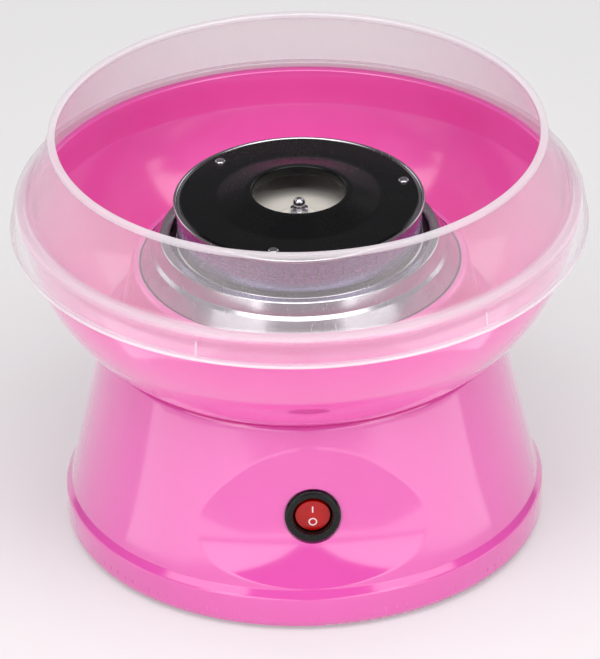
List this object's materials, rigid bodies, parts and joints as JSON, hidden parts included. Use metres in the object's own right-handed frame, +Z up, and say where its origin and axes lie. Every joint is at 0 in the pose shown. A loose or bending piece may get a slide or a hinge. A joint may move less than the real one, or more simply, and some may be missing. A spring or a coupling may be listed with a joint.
{
  "type": "cotton candy machine",
  "caption": "Round table-top cotton candy machine with a flared moulded base, rocker switch, heated spinning head, catch bowl and clear guard.",
  "frame": {"origin": "on the table under the spinning head's axis, at the feet's lower faces", "axes": "+Z up along the head's axis, -Y to the front with the switch, +X to the right seen from the front"},
  "size_m": [0.237, 0.237, 0.1786],
  "materials": {
    "base_pink": "glossy injection moulded",
    "bowl_pink": "glossy injection moulded",
    "guard_frosted": "translucent frosted",
    "switch_black": "satin",
    "rocker_red": "translucent glossy",
    "black_rubber": "matte",
    "polished_steel": "polished",
    "stamped_steel": "satin",
    "zinc_steel": "zinc plated",
    "lid_black": "satin black enamel",
    "element_sheath": "heat darkened",
    "ceramic_white": "unglazed ceramic",
    "brass": "bright",
    "moulded_black": "moulded",
    "board_laminate": "phenolic laminate",
    "ferrite": "sintered",
    "rotor_steel": "varnished laminations"
  },
  "bodies": {
    "base": {"base_housing": "base_pink", "bottom_cover": "base_pink", "rubber_feet": "black_rubber", "cover_screws": "zinc_steel", "cord_bush": "black_rubber", "switch_housing": "switch_black", "switch_terminals": "brass", "motor_bracket": "zinc_steel", "isolation_grommets": "black_rubber", "bracket_screws": "zinc_steel", "motor_can": "zinc_steel", "motor_end_bell": "moulded_black", "motor_terminals": "brass", "motor_bushing": "brass", "motor_magnets": "ferrite", "motor_screws": "zinc_steel", "heat_shield_collar": "polished_steel", "reflector_pan": "polished_steel", "pan_standoffs": "zinc_steel", "pan_screws": "zinc_steel", "heating_element": "element_sheath", "element_holders": "ceramic_white", "leg_bushes": "ceramic_white", "thermostat": "moulded_black", "thermal_fuse": "ceramic_white", "rectifier_board": "board_laminate", "board_screws": "zinc_steel", "board_diodes": "moulded_black", "board_capacitor": "moulded_black"},
    "spinner": {"motor_shaft": "zinc_steel", "motor_rotor": "rotor_steel", "motor_commutator": "brass", "head_hub": "stamped_steel", "hub_set_screw": "zinc_steel", "head_dish": "stamped_steel", "spinneret_band": "polished_steel", "lid_plate": "polished_steel", "head_lid": "lid_black", "lid_rivets": "polished_steel", "lock_washer": "stamped_steel", "cap_nut": "polished_steel"},
    "rocker": {"rocker_button": "rocker_red"},
    "bowl": {"catch_bowl": "bowl_pink"},
    "guard": {"splash_guard": "guard_frosted"}
  },
  "joints": [
    {"name": "head_spin", "type": "hinge", "parent": "base", "child": "spinner", "pos_m": [0, 0, 0.12], "axis": [0, 0, 1], "continuous": true},
    {"name": "rocker_tilt", "type": "hinge", "parent": "base", "child": "rocker", "pos_m": [0, -0.08344, 0.04728], "axis": [-1, 0, 0], "range_deg": [0, 20]},
    {"name": "bowl_lift", "type": "slide", "parent": "base", "child": "bowl", "axis": [0, 0, 1], "range_m": [0, 0.085]},
    {"name": "guard_lift", "type": "slide", "parent": "bowl", "child": "guard", "axis": [0, 0, 1], "range_m": [0, 0.06]}
  ]
}
